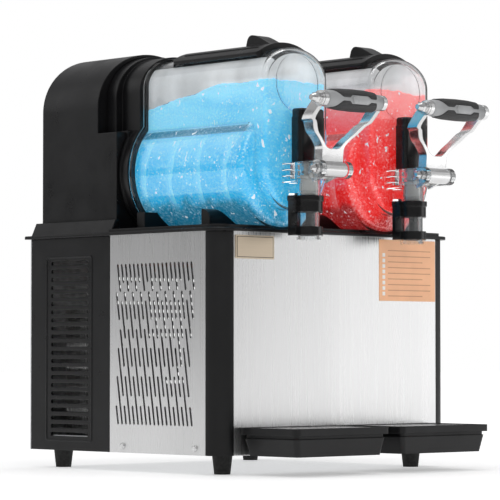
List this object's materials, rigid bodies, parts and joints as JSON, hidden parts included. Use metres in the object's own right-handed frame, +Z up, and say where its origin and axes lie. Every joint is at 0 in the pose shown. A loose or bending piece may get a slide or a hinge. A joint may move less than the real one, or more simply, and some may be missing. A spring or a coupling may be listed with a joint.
{
  "type": "slush machine",
  "caption": "Countertop slush machine with clear freezing bowls, augers, lever taps, lift-off lids and pull-out drip trays over a vented steel cabinet.",
  "frame": {"origin": "centre of the footprint on the counter", "axes": "+Z up, front with the taps faces -Y, +X to the machine's left seen from behind"},
  "size_m": [0.392, 0.466, 0.5097],
  "materials": {
    "black_plastic": "satin black moulded plastic",
    "post_plastic": "matt black extruded corner",
    "tray_plastic": "matt black moulded plastic",
    "stainless": "vertically brushed stainless steel",
    "galvanised": "zinc-coated sheet",
    "clear_plastic": "clear polycarbonate",
    "chrome": "polished chrome",
    "grip_grey": "light grey grip core with dark dimpled pads",
    "steel": "ground steel",
    "rubber": "black rubber",
    "white_plastic": "food-grade white plastic",
    "motor_paint": "black enamel",
    "fin_aluminium": "mill aluminium fins",
    "copper": "drawn copper tube",
    "switch_plastic": "gloss black rocker",
    "plate_metal": "blank warm metal plate with a dark border"
  },
  "bodies": {
    "cabinet": {"base_pan": "galvanised", "bowl_left": "clear_plastic", "bowl_right": "clear_plastic", "bowl_seals": "rubber", "bulkhead_left": "black_plastic", "bulkhead_right": "black_plastic", "compressor": "motor_paint", "condenser": "fin_aluminium", "control_panel": "black_plastic", "evaporator_left": "stainless", "evaporator_right": "stainless", "fan_motor": "galvanised", "feet": "rubber", "front_panel": "stainless", "gearmotor_left": "motor_paint", "gearmotor_right": "motor_paint", "left_corner_post": "post_plastic", "left_side_panel": "stainless", "left_vent_panel": "black_plastic", "nameplate": "plate_metal", "panel_screws": "chrome", "pivot_pins": "chrome", "power_inlet": "black_plastic", "rear_cover_left": "black_plastic", "rear_cover_right": "black_plastic", "rear_panel": "galvanised", "refrigerant_lines": "copper", "right_corner_post": "post_plastic", "right_side_panel": "stainless", "right_vent_panel": "black_plastic", "shaft_seals": "rubber", "spout_bracket_left": "black_plastic", "spout_bracket_right": "black_plastic", "spring_cover_left": "black_plastic", "spring_cover_right": "black_plastic", "tap_spring_left": "steel", "tap_spring_right": "steel", "top_deck": "black_plastic"},
    "auger_drive_left": {"auger_left": "white_plastic", "drive_shaft_left": "steel"},
    "tap_handle_left": {"tap_yoke_left": "chrome", "tap_grip_left": "grip_grey", "grip_bolt_left": "chrome"},
    "plunger_left": {"tap_plunger_left": "white_plastic"},
    "lid_left_body": {"lid_left": "black_plastic"},
    "tray_left": {"drip_tray_left": "tray_plastic"},
    "grille_left": {"drip_grille_left": "stainless"},
    "auger_drive_right": {"auger_right": "white_plastic", "drive_shaft_right": "steel"},
    "tap_handle_right": {"tap_yoke_right": "chrome", "tap_grip_right": "grip_grey", "grip_bolt_right": "chrome"},
    "plunger_right": {"tap_plunger_right": "white_plastic"},
    "lid_right_body": {"lid_right": "black_plastic"},
    "tray_right": {"drip_tray_right": "tray_plastic"},
    "grille_right": {"drip_grille_right": "stainless"},
    "fan": {"fan_rotor": "white_plastic"},
    "power_switch_rocker": {"power_switch": "switch_plastic"},
    "mode_switch_left_rocker": {"mode_switch_left": "switch_plastic"},
    "mode_switch_right_rocker": {"mode_switch_right": "switch_plastic"}
  },
  "joints": [
    {"name": "auger_spin_left", "type": "hinge", "parent": "cabinet", "child": "auger_drive_left", "pos_m": [-0.086, -0.012, 0.353], "axis": [0, 1, 0], "continuous": true},
    {"name": "tap_swing_left", "type": "hinge", "parent": "cabinet", "child": "tap_handle_left", "pos_m": [-0.086, -0.1886, 0.347], "axis": [1, 0, 0], "range_deg": [0, 40], "stiffness_Nm_per_rad": 0.35, "springref_deg": -51.57},
    {"name": "plunger_lift_left", "type": "slide", "parent": "cabinet", "child": "plunger_left", "axis": [0, 0, 1], "range_m": [0, 0.01403], "deforming": ["tap_spring_left"]},
    {"name": "lid_lift_left", "type": "slide", "parent": "cabinet", "child": "lid_left_body", "axis": [0, 0, 1], "range_m": [0, 0.06]},
    {"name": "tray_pull_left", "type": "slide", "parent": "cabinet", "child": "tray_left", "axis": [0, -1, 0], "range_m": [0, 0.08]},
    {"name": "grille_lift_left", "type": "slide", "parent": "tray_left", "child": "grille_left", "axis": [0, 0, 1], "range_m": [0, 0.05]},
    {"name": "auger_spin_right", "type": "hinge", "parent": "cabinet", "child": "auger_drive_right", "pos_m": [0.086, -0.012, 0.353], "axis": [0, 1, 0], "continuous": true},
    {"name": "tap_swing_right", "type": "hinge", "parent": "cabinet", "child": "tap_handle_right", "pos_m": [0.086, -0.1886, 0.347], "axis": [1, 0, 0], "range_deg": [0, 40], "stiffness_Nm_per_rad": 0.35, "springref_deg": -51.57},
    {"name": "plunger_lift_right", "type": "slide", "parent": "cabinet", "child": "plunger_right", "axis": [0, 0, 1], "range_m": [0, 0.01403], "deforming": ["tap_spring_right"]},
    {"name": "lid_lift_right", "type": "slide", "parent": "cabinet", "child": "lid_right_body", "axis": [0, 0, 1], "range_m": [0, 0.06]},
    {"name": "tray_pull_right", "type": "slide", "parent": "cabinet", "child": "tray_right", "axis": [0, -1, 0], "range_m": [0, 0.08]},
    {"name": "grille_lift_right", "type": "slide", "parent": "tray_right", "child": "grille_right", "axis": [0, 0, 1], "range_m": [0, 0.05]},
    {"name": "fan_spin", "type": "hinge", "parent": "cabinet", "child": "fan", "pos_m": [-0.086, 0.138, 0.132], "axis": [1, 0, 0], "continuous": true},
    {"name": "power_switch_rock", "type": "hinge", "parent": "cabinet", "child": "power_switch_rocker", "pos_m": [0.191, -0.034, 0.234], "axis": [0, 1, 0], "range_deg": [0, 14]},
    {"name": "mode_switch_left_rock", "type": "hinge", "parent": "cabinet", "child": "mode_switch_left_rocker", "pos_m": [0.191, -0.064, 0.234], "axis": [0, 1, 0], "range_deg": [0, 14]},
    {"name": "mode_switch_right_rock", "type": "hinge", "parent": "cabinet", "child": "mode_switch_right_rocker", "pos_m": [0.191, -0.004, 0.234], "axis": [0, 1, 0], "range_deg": [0, 14]}
  ],
  "couplings": [
    {"joint": "plunger_lift_left", "follows": "tap_swing_left", "m_per_rad": 0.019811},
    {"joint": "plunger_lift_right", "follows": "tap_swing_right", "m_per_rad": 0.019811}
  ]
}
